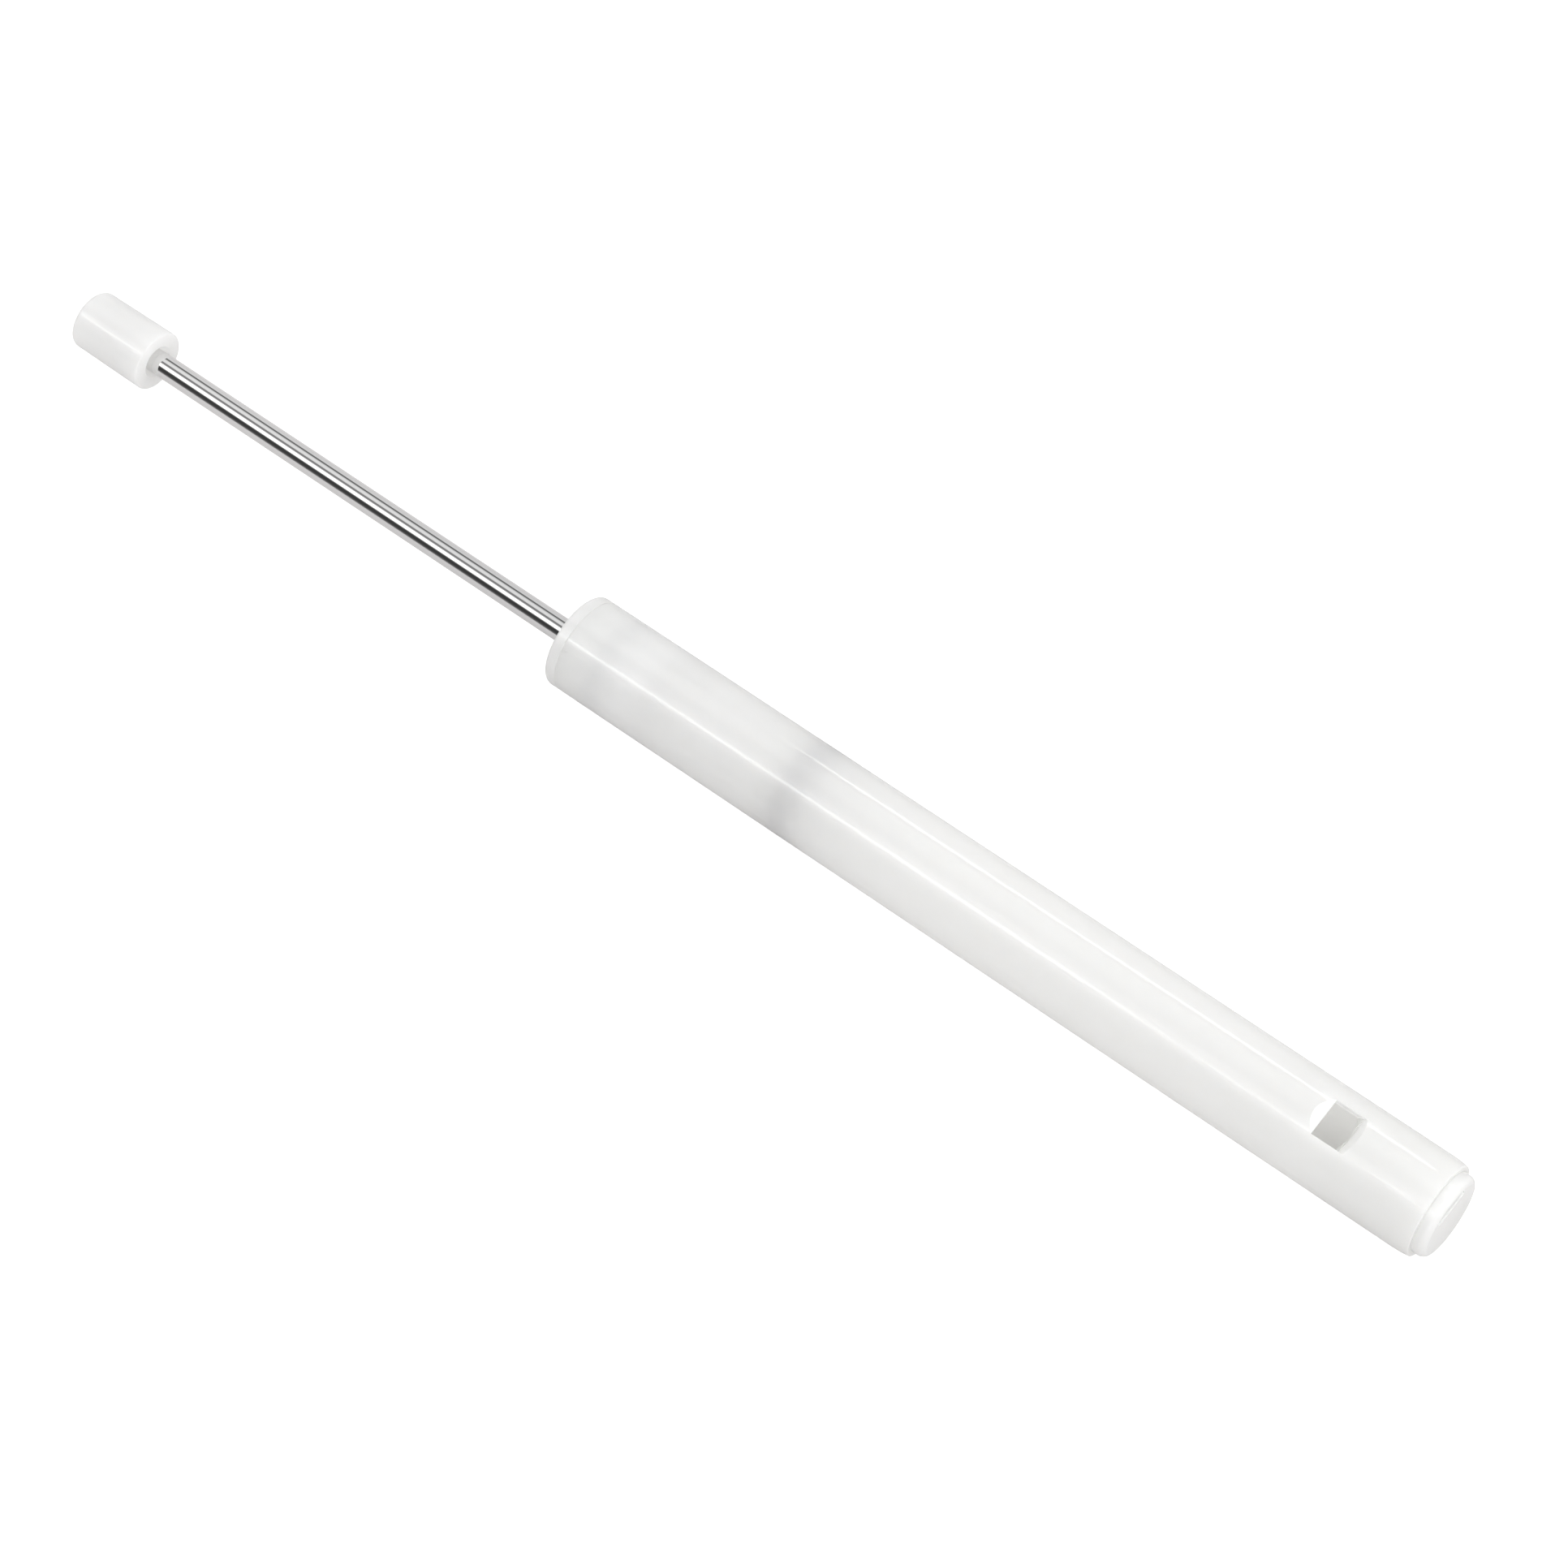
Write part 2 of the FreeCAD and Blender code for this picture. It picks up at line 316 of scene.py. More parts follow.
class Surface(Tree):
    """A material with a Principled shader, and ways to vary it over the surface."""

    def __init__(self, name):
        self.material = bpy.data.materials.new(name)
        super().__init__(self.material)
        self.shader = self.add("ShaderNodeBsdfPrincipled")
        self.output = self.add("ShaderNodeOutputMaterial")
        self.join(self.shader.outputs["BSDF"], self.output.inputs["Surface"])
        self.place = self.add("ShaderNodeTexCoord").outputs["Object"]

    def noise(self, scale, detail=3.0, roughness=0.5, stretch=(1, 1, 1)):
        """Noise over the object's own coordinates, in cycles per metre."""
        mapping = self.add("ShaderNodeMapping")
        mapping.inputs["Scale"].default_value = stretch
        texture = self.add("ShaderNodeTexNoise")
        texture.inputs["Scale"].default_value = scale
        texture.inputs["Detail"].default_value = detail
        texture.inputs["Roughness"].default_value = roughness
        self.join(self.place, mapping.inputs["Vector"])
        self.join(mapping.outputs["Vector"], texture.inputs["Vector"])
        return texture.outputs["Fac"]

    def roughen(self, factor, low, high):
        """A roughness that varies from low to high."""
        self.join(self.spread(factor, low=low, high=high), self.shader.inputs["Roughness"])

    def tint(self, factor, first, second):
        """A colour that varies from one to another."""
        ramp = self.add("ShaderNodeValToRGB")
        ramp.color_ramp.elements[0].position = 0.3
        ramp.color_ramp.elements[1].position = 0.7
        ramp.color_ramp.elements[0].color = (*first, 1)
        ramp.color_ramp.elements[1].color = (*second, 1)
        self.join(factor, ramp.inputs["Fac"])
        self.join(ramp.outputs["Color"], self.shader.inputs["Base Color"])

    def pass_light(self, share, inner_share, inner_radius):
        """Let a share of the light through, scattered, in the surface's own colour.

        The share can differ on the surfaces that lie within a radius of the barrel's axis.
        """
        through = self.add("ShaderNodeBsdfTranslucent")
        mix = self.add("ShaderNodeMixShader")
        mix.inputs["Fac"].default_value = share
        if inner_share != share:
            flat = self.add("ShaderNodeVectorMath", operation="MULTIPLY")
            flat.inputs[1].default_value = (0, 1, 1)
            reach = self.add("ShaderNodeVectorMath", operation="LENGTH")
            self.join(self.place, flat.inputs[0])
            self.join(flat.outputs["Vector"], reach.inputs[0])
            choice = self.spread(reach.outputs["Value"], inner_radius, inner_radius + 0.2 * MM,
                                 inner_share, share)
            self.join(choice, mix.inputs["Fac"])
        colour = self.shader.inputs["Base Color"].links[0].from_socket
        self.join(colour, through.inputs["Color"])
        self.join(self.shader.outputs["BSDF"], mix.inputs[1])
        self.join(through.outputs["BSDF"], mix.inputs[2])
        self.join(mix.outputs["Shader"], self.output.inputs["Surface"])

    def relief(self, height, strength, distance, under=None):
        """Bump the surface by a height, on top of another bump if one is given."""
        bump = self.add("ShaderNodeBump")
        bump.inputs["Strength"].default_value = strength
        bump.inputs["Distance"].default_value = distance
        self.join(height, bump.inputs["Height"])
        if under:
            self.join(under, bump.inputs["Normal"])
        self.join(bump.outputs["Normal"], self.shader.inputs["Normal"])
        return bump.outputs["Normal"]


def milky_plastic(name, light, shade_colour, depth, gloss, through, inner=None, radius=0.0):
    """Translucent moulded plastic: it scatters light, passes some on and has a moulded gloss.

    through is the share of light passed on; inner is that share within a radius of the axis.
    """
    nodes = Surface(name)
    nodes.tint(nodes.noise(90, 2.0), light, shade_colour)
    shader = nodes.shader
    shader.inputs["Subsurface Weight"].default_value = 1.0
    shader.inputs["Subsurface Radius"].default_value = (1.0, 0.98, 0.95)
    shader.inputs["Subsurface Scale"].default_value = depth
    shader.inputs["IOR"].default_value = 1.6
    nodes.roughen(nodes.noise(350, 4.0), gloss * 0.8, gloss * 1.25)
    waves = nodes.relief(nodes.noise(60, 1.0, stretch=(0.3, 1, 1)), 0.05, 0.15 * MM)
    nodes.relief(nodes.noise(6000, 3.0), 0.05, 0.01 * MM, under=waves)
    nodes.pass_light(through, through if inner is None else inner, radius)
    return nodes.material


def polished_steel():
    """Drawn and polished bar, with faint drawing lines along it."""
    nodes = Surface("polished_steel")
    nodes.tint(nodes.noise(40, 2.0, stretch=(0.2, 1, 1)), (0.76, 0.755, 0.75), (0.70, 0.70, 0.70))
    nodes.shader.inputs["Metallic"].default_value = 1.0
    nodes.roughen(nodes.noise(3000, 3.0, stretch=(0.01, 1, 1)), 0.02, 0.06)
    nodes.relief(nodes.noise(2500, 2.0, stretch=(0.006, 1, 1)), 0.05, 0.01 * MM)
    return nodes.material


def machined_steel(name, tone):
    """Plain stamped or turned steel."""
    nodes = Surface(name)
    darker = tuple(0.82 * part for part in tone)
    nodes.tint(nodes.noise(600, 4.0), tone, darker)
    nodes.shader.inputs["Metallic"].default_value = 1.0
    nodes.roughen(nodes.noise(1500, 4.0), 0.25, 0.45)
    nodes.relief(nodes.noise(4000, 3.0, stretch=(1, 0.2, 0.2)), 0.15, 0.02 * MM)
    return nodes.material


def moulded_rubber():
    """Dark matt rubber with a fine moulded grain and a little bloom."""
    nodes = Surface("seal_rubber")
    nodes.tint(nodes.noise(500, 5.0), (0.03, 0.03, 0.032), (0.055, 0.055, 0.058))
    nodes.shader.inputs["IOR"].default_value = 1.5
    nodes.roughen(nodes.noise(1200, 4.0), 0.5, 0.75)
    nodes.relief(nodes.noise(5000, 4.0), 0.3, 0.02 * MM)
    return nodes.material


def pressed_felt():
    """Dark pressed felt: tangled fibres, and a sheen at a low angle."""
    nodes = Surface("bumper_felt")
    nodes.tint(nodes.noise(1800, 6.0, 0.7), (0.016, 0.016, 0.018), (0.045, 0.045, 0.048))
    nodes.shader.inputs["Sheen Weight"].default_value = 0.2
    nodes.shader.inputs["Sheen Roughness"].default_value = 0.5
    nodes.roughen(nodes.noise(2500, 5.0), 0.85, 1.0)
    nodes.relief(nodes.noise(3500, 6.0, 0.7), 0.8, 0.15 * MM)
    return nodes.material


def dress_piece(piece, material, body, node):
    """Give a piece its material and body, and hide the CAD node that it stands in for."""
    piece.data.materials.clear()
    piece.data.materials.append(material)
    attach(piece, body)
    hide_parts(node)


# ---------------------------------------------------------------- pieces


def windway_outline():
    """The sloping windway slot, a little longer than the plug at its front."""
    slope = (WINDWAY_BACK - WINDWAY_FRONT) / BLOCK_END
    front_floor = WINDWAY_FRONT - slope * CUT_MARGIN
    return [
        (-CUT_MARGIN, front_floor),
        (BLOCK_END, WINDWAY_BACK),
        (BLOCK_END, WINDWAY_BACK + WINDWAY_GAP),
        (-CUT_MARGIN, front_floor + WINDWAY_GAP),
    ]


def eased_radius(x):
    """The barrel's radius, which eases inward to the mouth along an arc."""
    arc_radius = (MOUTH_TAPER_LENGTH ** 2 + MOUTH_TAPER_DEPTH ** 2) / (2 * MOUTH_TAPER_DEPTH)
    back = max(0.0, TUBE_START + MOUTH_TAPER_LENGTH - x)
    return BARREL_RADIUS - (arc_radius - math.sqrt(arc_radius ** 2 - back ** 2))


def barrel_outline():
    """The tube's wall: an eased mouth end, then a straight wall to the cap."""
    lead = 0.7 * MM
    margin = 0.5 * MM
    first = TUBE_START + lead
    points = rounded([
        (TUBE_END, BORE_RADIUS, 0.1 * MM),
        (TUBE_START, BORE_RADIUS, BORE_EDGE_ROUND),
        (TUBE_START, eased_radius(TUBE_START), MOUTH_EDGE_ROUND),
        (first, eased_radius(first), 0),
    ])
    steps = 12
    for step in range(1, steps + 1):
        x = first + (MOUTH_TAPER_LENGTH - lead) * step / steps
        points.append(Vector((x, eased_radius(x))))
    straight_start = TUBE_START + MOUTH_TAPER_LENGTH + margin
    straight_length = TUBE_END - margin - straight_start
    lengths = 8
    for step in range(lengths):
        x = straight_start + straight_length * step / lengths
        points.append(Vector((x, BARREL_RADIUS)))
    points += rounded([
        (TUBE_END - margin, BARREL_RADIUS, 0),
        (TUBE_END, BARREL_RADIUS, 0.12 * MM),
        (TUBE_END, BORE_RADIUS, 0),
    ])[:-1]
    return points


def make_barrel(plastic):
    """The barrel, with the sound window, the ramp to the labium and the windway's roof."""
    barrel = lathe("barrel_shell", barrel_outline(), BARREL_SEGMENTS)
    below = BORE_RADIUS - 2 * CUT_MARGIN
    above = BARREL_RADIUS + CUT_MARGIN
    ramp = LABIUM_RAMP / (BARREL_RADIUS - LABIUM_TOP)
    window = prism("window_cutter", [
        (WINDOW_START + WINDOW_LEAN * (LABIUM_TOP - below), below),
        (LABIUM_START, below),
        (LABIUM_START, LABIUM_TOP),
        (LABIUM_START + ramp * (above - LABIUM_TOP), above),
        (WINDOW_START + WINDOW_LEAN * (LABIUM_TOP - above), above),
    ], WINDOW_WIDTH)
    undercut = prism("undercut_cutter", [
        (LABIUM_START - CUT_MARGIN, BORE_RADIUS - CUT_MARGIN),
        (LABIUM_START + LABIUM_RELIEF, BORE_RADIUS - CUT_MARGIN),
        (LABIUM_START + LABIUM_RELIEF, BORE_RADIUS - 0.05 * MM),
        (LABIUM_START, LABIUM_TOP - LABIUM_EDGE),
        (LABIUM_START - CUT_MARGIN, LABIUM_TOP - LABIUM_EDGE),
    ], WINDOW_WIDTH - 0.02 * MM)
    roof = prism("roof_cutter", windway_outline(), WINDOW_WIDTH - 0.04 * MM)
    carve(barrel, [window, undercut, roof], CUT_ROUND)
    shade(barrel, RAMP_SHARP_DEGREES)
    dress_piece(barrel, plastic, "barrel", "barrel_tube")


def make_mouthpiece(plastic):
    """The mouthpiece plug with its slightly domed, rounded lip and its windway."""
    dome = []
    for share in (0.0, 0.25, 0.5):
        dome.append((BLOCK_START + LIP_DOME * share ** 2, LIP_RADIUS * share, 0))
    plug = lathe("mouthpiece_plug", rounded(dome + [
        (BLOCK_START + LIP_DOME, LIP_RADIUS, LIP_ROUND),
        (TUBE_START - FIT_GAP, LIP_RADIUS, 0.05 * MM),
        (TUBE_START - FIT_GAP, BORE_RADIUS - FIT_GAP, 0),
        (BLOCK_END, BORE_RADIUS - FIT_GAP, PLAIN_ROUND),
        (BLOCK_END, 0, 0),
    ]), BARREL_SEGMENTS)
    slot = prism("slot_cutter", windway_outline(), WINDOW_WIDTH)
    carve(plug, [slot], CUT_ROUND)
    dress_piece(plug, plastic, "barrel", "mouthpiece_block")


def make_cap(plastic):
    """The end cap: flange, hollow plug and the boss that guides the rod."""
    hole = ROD_RADIUS + RUNNING_GAP
    cap = lathe("cap_moulding", rounded([
        (CAP_START, BORE_RADIUS - CAP_PLUG_WALL, 0.2 * MM),
        (CAP_START, BORE_RADIUS - FIT_GAP, PLAIN_ROUND),
        (TUBE_END + FIT_GAP, BORE_RADIUS - FIT_GAP, 0),
        (TUBE_END + FIT_GAP, BARREL_RADIUS, 0.15 * MM),
        (CAP_END, BARREL_RADIUS, CAP_EDGE_ROUND),
        (CAP_END, hole, PLAIN_ROUND),
        (CAP_START, hole, PLAIN_ROUND),
        (CAP_START, CAP_BOSS_RADIUS, PLAIN_ROUND),
        (CAP_END - CAP_FLOOR, CAP_BOSS_RADIUS, PLAIN_ROUND),
        (CAP_END - CAP_FLOOR, BORE_RADIUS - CAP_PLUG_WALL, PLAIN_ROUND),
    ]), BARREL_SEGMENTS)
    dress_piece(cap, plastic, "barrel", "end_cap")


def make_bumper(felt):
    """The felt ring, its rim and hole roughened like cut felt."""

    def fuzzy(x, r, angle):
        place = Vector((x, r * math.sin(angle), r * math.cos(angle)))
        return r - FELT_FUZZ * (0.5 + 0.5 * noise.noise(place * tufts_per_metre))

    tufts_per_metre = 900
    rows = 6
    length = BUMPER_END - BUMPER_START
    outer = [Vector((BUMPER_START + length * step / rows, BUMPER_RADIUS))
             for step in range(rows + 1)]
    inner = [Vector((point.x, BUMPER_HOLE_RADIUS + 2 * FELT_FUZZ)) for point in reversed(outer)]
    bumper = lathe("felt_bumper", outer + inner, SMALL_SEGMENTS, fuzzy)
    dress_piece(bumper, felt, "barrel", "bumper_ring")


def make_rod(steel):
    """The polished rod and its threaded spigot."""
    shoulder = HUB_END + RUNNING_GAP
    thread_end = WASHER_START
    points_per_turn = 8
    steps = int((thread_end - ROD_START) / THREAD_PITCH * points_per_turn)

    def threaded(x, r, angle):
        if r > SPIGOT_RADIUS * 1.01 or x > thread_end or x < ROD_START + 0.05 * MM:
            return r
        phase = ((x - ROD_START) / THREAD_PITCH + angle / TURN) % 1.0
        return r - THREAD_DEPTH * (1 - abs(2 * phase - 1))

    points = [Vector((ROD_START, 0)), Vector((ROD_START, SPIGOT_RADIUS - SPIGOT_CHAMFER))]
    thread_start = ROD_START + SPIGOT_CHAMFER
    for step in range(steps + 1):
        x = thread_start + (thread_end - thread_start) * step / steps
        points.append(Vector((x, SPIGOT_RADIUS)))
    points += rounded([
        (thread_end + PLAIN_ROUND, SPIGOT_RADIUS, 0),
        (shoulder, SPIGOT_RADIUS, 0),
        (shoulder, ROD_RADIUS, 0.15 * MM),
        (ROD_END, ROD_RADIUS, PLAIN_ROUND),
        (ROD_END, 0, 0),
    ])
    rod = lathe("polished_rod", points, SMALL_SEGMENTS, threaded)
    dress_piece(rod, steel, "slide", "slide_rod")


def make_nut(steel):
    """A hexagon nut with chamfered corners; its flats lie as the CAD nut's do."""
    _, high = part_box("piston_nut")
    corner_radius = max(high.y, high.z)
    flat_distance = corner_radius * math.cos(math.pi / 6)
    corner_along_y = high.y > high.z

    def hexagonal(x, r, angle):
        if r < SPIGOT_RADIUS * 1.2:
            return r
        turned_angle = angle + (math.pi / 6 if corner_along_y else 0.0)
        off_flat = (turned_angle % (math.pi / 3)) - math.pi / 6
        across = flat_distance / math.cos(off_flat)
        return min(across, r)

    nut = lathe("hex_nut", [
        Vector((NUT_START, SPIGOT_RADIUS)),
        Vector((NUT_START, flat_distance - NUT_CHAMFER / 2)),
        Vector((NUT_START + NUT_CHAMFER / 2, flat_distance + NUT_CHAMFER / 2)),
        Vector((NUT_START + NUT_CHAMFER, corner_radius)),
        Vector((NUT_END - NUT_CHAMFER, corner_radius)),
        Vector((NUT_END - NUT_CHAMFER / 2, flat_distance + NUT_CHAMFER / 2)),
        Vector((NUT_END, flat_distance - NUT_CHAMFER / 2)),
        Vector((NUT_END, SPIGOT_RADIUS)),
    ], SMALL_SEGMENTS * 3 // 2, hexagonal)
    dress_piece(nut, steel, "slide", "piston_nut")


def make_washer(steel):
    """The stamped washer, with one rolled edge and one sharper edge."""
    washer = lathe("steel_washer", rounded([
        (WASHER_START, SPIGOT_RADIUS + RUNNING_GAP, 0.1 * MM),
        (WASHER_START, WASHER_RADIUS, 0.25 * MM),
        (WASHER_END, WASHER_RADIUS, 0.08 * MM),
        (WASHER_END, SPIGOT_RADIUS + RUNNING_GAP, 0.08 * MM),
    ]), SMALL_SEGMENTS)
    dress_piece(washer, steel, "piston", "seal_washer")


def make_seal(rubber):
    """The rubber seal with its two round beads."""
    hole = SPIGOT_RADIUS + RUNNING_GAP
    valley = SEAL_RADIUS - SEAL_GROOVE
    seal = lathe("rubber_seal", rounded([
        (SEAL_START, hole, 0.15 * MM),
        (SEAL_START, SEAL_RADIUS, BEAD_ROUND),
        (SEAL_START + SEAL_BEAD, SEAL_RADIUS, BEAD_ROUND),
        (SEAL_START + SEAL_BEAD + SEAL_GROOVE, valley, 0.4 * MM),
        (SEAL_END - SEAL_BEAD - SEAL_GROOVE, valley, 0.4 * MM),
        (SEAL_END - SEAL_BEAD, SEAL_RADIUS, BEAD_ROUND),
        (SEAL_END, SEAL_RADIUS, BEAD_ROUND),
        (SEAL_END, hole, 0.15 * MM),
    ]), BARREL_SEGMENTS)
    dress_piece(seal, rubber, "piston", "piston_seal")


def make_hub(plastic):
    """The moulded spool behind the seal."""
    hole = SPIGOT_RADIUS + RUNNING_GAP
    hub = lathe("hub_spool", rounded([
        (HUB_START, hole, 0.15 * MM),
        (HUB_START, HUB_RADIUS, PLAIN_ROUND),
        (HUB_START + HUB_WEB, HUB_RADIUS, PLAIN_ROUND),
        (HUB_START + HUB_WEB, HUB_NECK_RADIUS, 0.4 * MM),
        (HUB_END - HUB_WEB, HUB_NECK_RADIUS, 0.4 * MM),
        (HUB_END - HUB_WEB, HUB_RADIUS, PLAIN_ROUND),
        (HUB_END, HUB_RADIUS, PLAIN_ROUND),
        (HUB_END, hole, 0.15 * MM),
    ]), SMALL_SEGMENTS)
    dress_piece(hub, plastic, "piston", "piston_hub")


def make_knob(plastic):
    """The pull knob: solid, countersunk round the rod, with a small gate dimple in its end."""
    hole = ROD_RADIUS + FIT_GAP
    knob = lathe("pull_knob", rounded([
        (KNOB_START, KNOB_SINK_RADIUS, 0.06 * MM),
        (KNOB_START, KNOB_RADIUS, 0.35 * MM),
        (KNOB_END, KNOB_END_RADIUS, KNOB_END_ROUND),
        (KNOB_END, 1.1 * MM, 0.1 * MM),
        (KNOB_END - GATE_DIMPLE, 0.9 * MM, 0.1 * MM),
        (KNOB_END - GATE_DIMPLE, 0, 0),
        (ROD_END + FIT_GAP, 0, 0),
        (ROD_END + FIT_GAP, hole, 0),
        (KNOB_START + KNOB_SINK_DEPTH, hole, 0),
    ]), BARREL_SEGMENTS)
    dress_piece(knob, plastic, "slide", "knob")


# ---------------------------------------------------------------- studio

CAMERA_DISTANCE = 886.3 * MM
CAMERA_HEADING = math.radians(-39.426)
CAMERA_ELEVATION = math.radians(62.726)
CAMERA_ROLL = math.radians(13.641)
CAMERA_TARGET = Vector((146.03, 0.967, -0.317)) * MM
CAMERA_LENS = 111.80
CAMERA_SENSOR = 36.0

TABLE_SIZE = 6.0
TABLE_TONE = (0.64, 0.63, 0.63, 1)
TABLE_GLOW = 0.05
TABLE_GLOW_SEEN = 0.6

# Brightness of the surroundings by angle about the barrel, from straight up: the positive side
# is behind the object and the negative side is towards the camera's foot.
STUDIO_BANDS = [
    (-180, 0.8), (-92, 0.5), (-84, 0.2), (-78, 0.11), (-70, 0.06), (-50, 0.055), (-46, 0.1),
    (-41, 0.55), (-38, 1.3), (-34, 1.8), (-14, 1.8), (-10, 0.9), (-6, 0.42), (0, 0.27),
    (6, 0.22), (10, 0.45), (14, 0.95), (32, 1.03), (38, 0.9), (42, 0.75), (48, 0.3),
    (53, 0.13), (57, 0.13), (63, 0.55), (67, 0.87), (88, 0.84), (100, 0.4), (180, 0.8),
]

# The sky on the mouth's side of the whistle, which lights it but is never mirrored by it.
SIDE_SKY = 1.4
SIDE_SKY_START = -0.1
SIDE_SKY_FULL = -0.3

# What the camera sees past the table.
BACKDROP = 1.1

# Where the ramp of the sound window mirrors the camera's view of the sky.
RAMP_SKY = Vector((-0.50, -0.31, 0.81)).normalized()
# How far the lights stand from the barrel.
LIGHT_DISTANCE = 0.6


def place_camera():
    """A long lens that looks down on the whistle, turned so that it lies across the frame."""
    forward = Vector((
        math.cos(CAMERA_HEADING) * math.cos(CAMERA_ELEVATION),
        math.sin(CAMERA_HEADING) * math.cos(CAMERA_ELEVATION),
        -math.sin(CAMERA_ELEVATION),
    ))
    level_up = (Vector((0, 0, 1)) - forward * forward.dot(Vector((0, 0, 1)))).normalized()
    level_right = forward.cross(level_up)
    up = level_up * math.cos(CAMERA_ROLL) + level_right * math.sin(CAMERA_ROLL)
    right = forward.cross(up)
    data = bpy.data.cameras.new("camera")
    data.lens = CAMERA_LENS
    data.sensor_width = CAMERA_SENSOR
    data.clip_start = 0.01
    data.clip_end = 50.0
    camera = bpy.data.objects.new("camera", data)
    place = CAMERA_TARGET - forward * CAMERA_DISTANCE
    turn = Matrix((right, up, -forward)).transposed().to_4x4()
    camera.matrix_world = Matrix.Translation(place) @ turn
    bpy.context.scene.collection.objects.link(camera)
    bpy.context.scene.camera = camera


def make_surroundings():
    """A studio of pale and dark cards, seen by the gloss; the backdrop itself is plain white."""
    world = bpy.data.worlds.new("studio")
    bpy.context.scene.world = world
    nodes = Tree(world)
    parts = nodes.add("ShaderNodeSeparateXYZ")
    nodes.join(nodes.add("ShaderNodeTexCoord").outputs["Generated"], parts.inputs[0])

    backwards = nodes.add("ShaderNodeMath", operation="MULTIPLY")
    backwards.inputs[1].default_value = -1.0
    angle = nodes.add("ShaderNodeMath", operation="ARCTAN2")
    nodes.join(parts.outputs["Y"], backwards.inputs[0])
    nodes.join(backwards.outputs[0], angle.inputs[0])
    nodes.join(parts.outputs["Z"], angle.inputs[1])
    bands = nodes.add("ShaderNodeValToRGB")
    nodes.join(nodes.spread(angle.outputs[0], -math.pi, math.pi), bands.inputs["Fac"])
    stops = bands.color_ramp.elements
    while len(stops) > 1:
        stops.remove(stops[0])
    for number, (degrees, brightness) in enumerate(STUDIO_BANDS):
        position = (degrees + 180) / 360
        stop = stops[0] if number == 0 else stops.new(position)
        stop.position = position
        stop.color = (brightness, brightness, brightness, 1)
    cards = nodes.background()
    nodes.join(bands.outputs["Color"], cards.inputs["Color"])

    side = nodes.spread(parts.outputs["X"], SIDE_SKY_START, SIDE_SKY_FULL)
    above = nodes.spread(parts.outputs["Z"], 0.0, 0.1)
    both = nodes.add("ShaderNodeMath", operation="MULTIPLY")
    nodes.join(side, both.inputs[0])
    nodes.join(above, both.inputs[1])
    studio = nodes.mix(both.outputs[0], cards, nodes.background(SIDE_SKY))

    rays = nodes.add("ShaderNodeLightPath")
    seen = nodes.mix(rays.outputs["Is Camera Ray"], studio, nodes.background(BACKDROP))
    nodes.join(seen.outputs[0], nodes.add("ShaderNodeOutputWorld").inputs["Surface"])


def add_panel(name, place, away, length, width, radiance):
    """A soft rectangular light at a place, facing back along a direction, long side nearest X."""
    data = bpy.data.lights.new(name, "AREA")
    data.shape = "RECTANGLE"
    data.size = length
    data.size_y = width
    data.energy = radiance * math.pi * length * width
    light = bpy.data.objects.new(name, data)
    side = (Vector((1, 0, 0)) - away * away.x).normalized()
    turn = Matrix((side, away.cross(side), away)).transposed().to_4x4()
    light.matrix_world = Matrix.Translation(place) @ turn
    light.visible_camera = False
    bpy.context.scene.collection.objects.link(light)


def add_strip(name, degrees, start, end, width, radiance):
    """A long strip beside the barrel, at an angle from straight up about it."""
    angle = math.radians(degrees)
    away = Vector((0, -math.sin(angle), math.cos(angle)))
    place = away * LIGHT_DISTANCE + Vector(((start + end) / 2, 0, 0))
    add_panel(name, place, away, end - start, width, radiance)


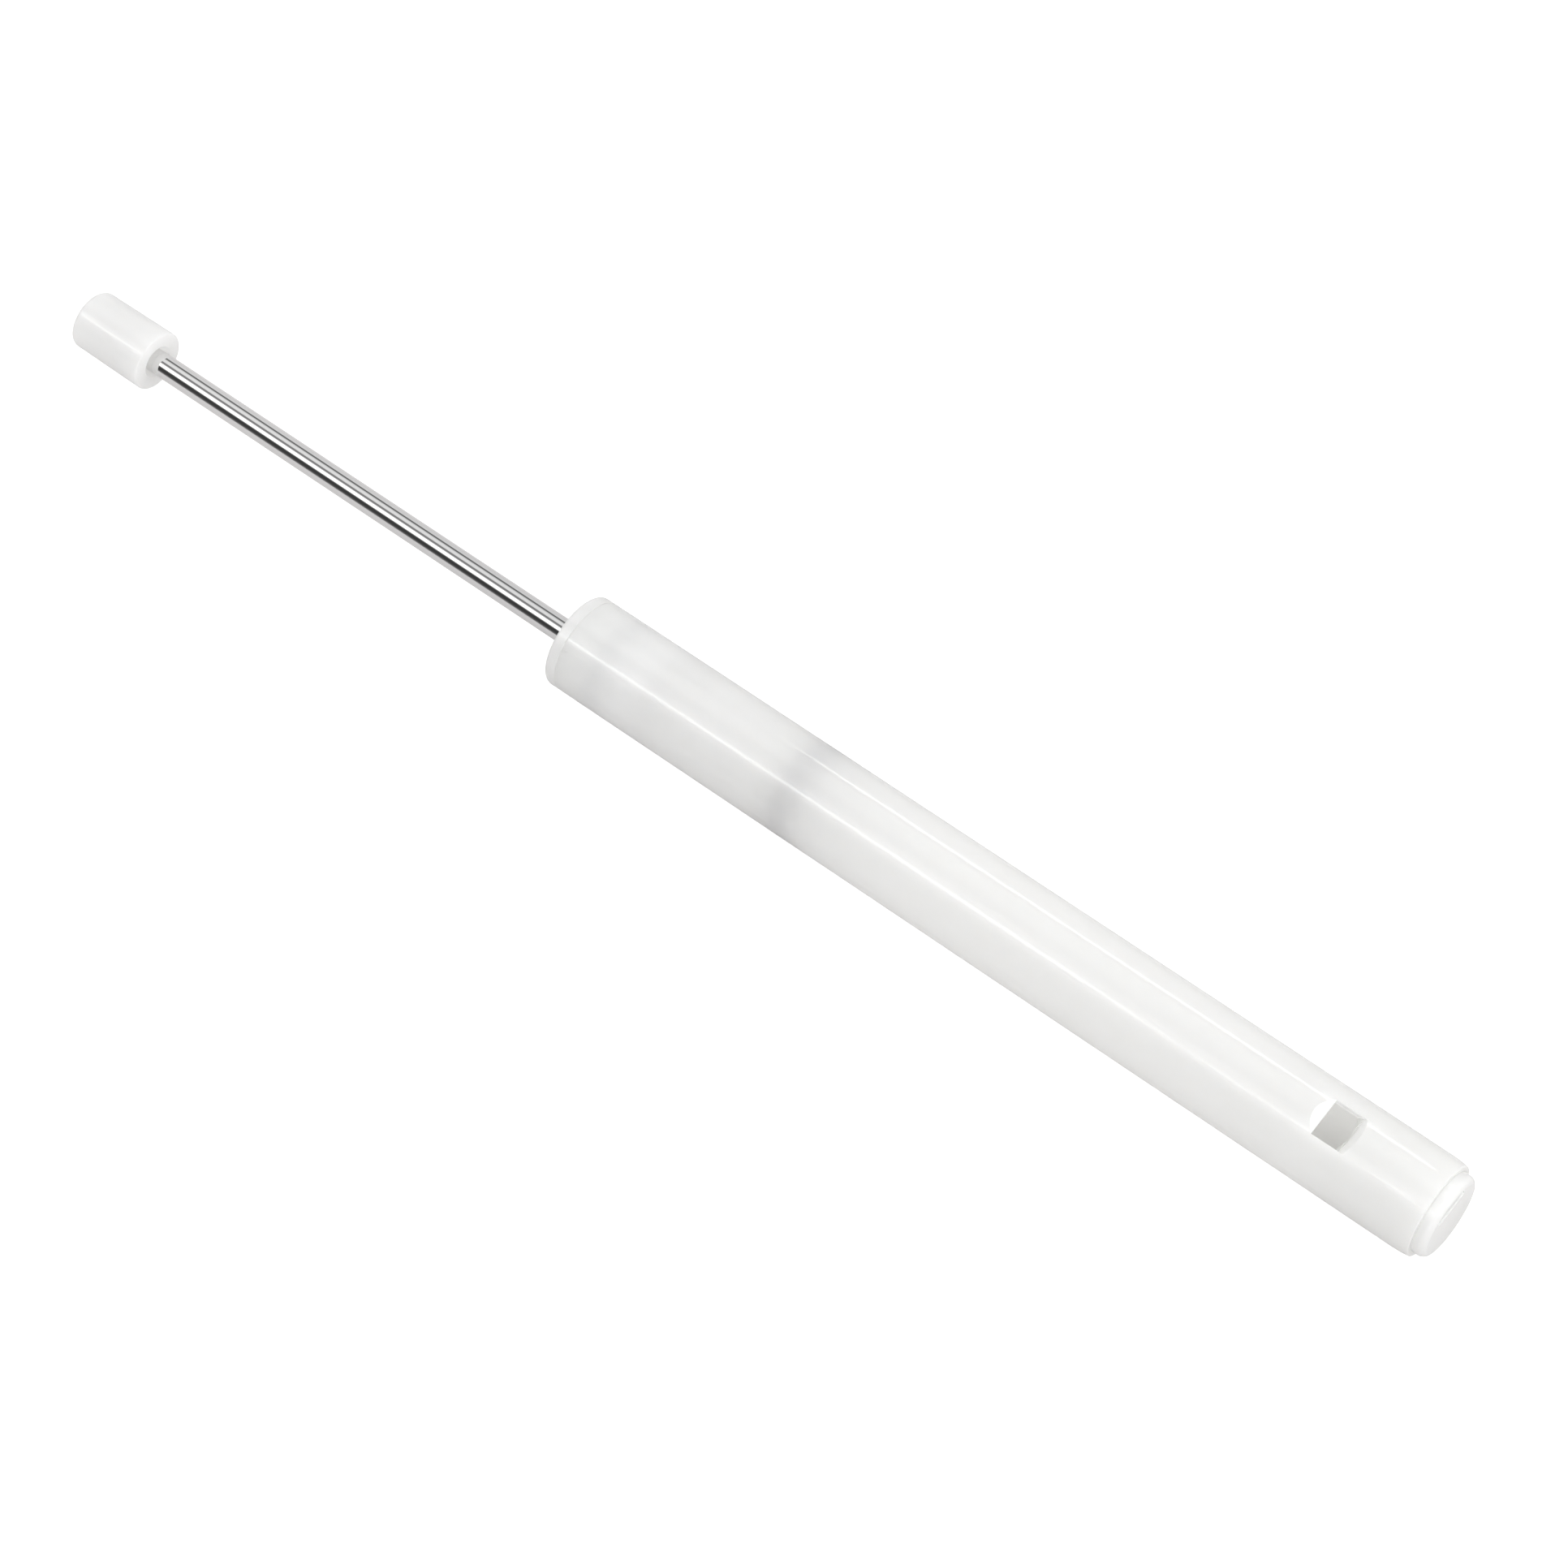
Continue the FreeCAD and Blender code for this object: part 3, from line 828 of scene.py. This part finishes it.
def make_floor():
    """A pale table that also glows for the camera, like a light table."""
    mesh_data = bmesh.new()
    bmesh.ops.create_grid(mesh_data, x_segments=2, y_segments=2, size=TABLE_SIZE / 2)
    floor = make_piece("floor", mesh_data)
    floor.location = (0.15, 0, cad_bounds[0].z - FIT_GAP)
    nodes = Surface("pale_table")
    shader = nodes.shader
    shader.inputs["Base Color"].default_value = TABLE_TONE
    shader.inputs["Roughness"].default_value = 0.9
    shader.inputs["Specular IOR Level"].default_value = 0.0
    shader.inputs["Emission Color"].default_value = (1, 1, 1, 1)
    rays = nodes.add("ShaderNodeLightPath")
    glow = nodes.spread(rays.outputs["Is Camera Ray"], low=TABLE_GLOW, high=TABLE_GLOW_SEEN)
    nodes.join(glow, shader.inputs["Emission Strength"])
    floor.data.materials.append(nodes.material)


place_camera()
make_surroundings()
add_strip("near_strip", degrees=-27.4, start=0.23, end=0.73, width=0.06, radiance=6.0)
add_strip("near_strip_end", degrees=-27.4, start=0.10, end=0.21, width=0.06, radiance=3.0)
add_strip("back_strip", degrees=55.5, start=0.11, end=0.37, width=0.05, radiance=8.0)
add_panel("mouth_panel", place=RAMP_SKY * LIGHT_DISTANCE, away=RAMP_SKY,
          length=0.10, width=0.10, radiance=8.0)
make_floor()

WHITE = (0.985, 0.985, 0.98)
MILK = (0.975, 0.976, 0.968)
barrel_plastic = milky_plastic("milky_barrel", WHITE, MILK, depth=1.0 * MM, gloss=0.13,
                               through=0.42, inner=0.95, radius=8.2 * MM)
mouth_plastic = milky_plastic("milky_mouthpiece", WHITE, MILK, depth=1.5 * MM, gloss=0.16,
                              through=0.3)
cap_plastic = milky_plastic("milky_cap", WHITE, MILK, depth=1.0 * MM, gloss=0.18,
                            through=0.42)
knob_plastic = milky_plastic("milky_knob", WHITE, MILK, depth=1.5 * MM, gloss=0.15,
                             through=0.5, inner=0.8, radius=3.5 * MM)
hub_plastic = milky_plastic("hub_plastic", (0.80, 0.80, 0.78), (0.76, 0.76, 0.74),
                            depth=1.0 * MM, gloss=0.35, through=0.05)

make_barrel(barrel_plastic)
make_mouthpiece(mouth_plastic)
make_cap(cap_plastic)
make_bumper(pressed_felt())
make_rod(polished_steel())
make_nut(machined_steel("nut_steel", (0.62, 0.62, 0.63)))
make_washer(machined_steel("washer_steel", (0.66, 0.66, 0.67)))
make_seal(moulded_rubber())
make_hub(hub_plastic)
make_knob(knob_plastic)

scene = bpy.context.scene
scene.view_settings.view_transform = "Standard"
scene.view_settings.look = "None"
scene.cycles.max_bounces = 24
scene.cycles.diffuse_bounces = 12
scene.cycles.transmission_bounces = 20
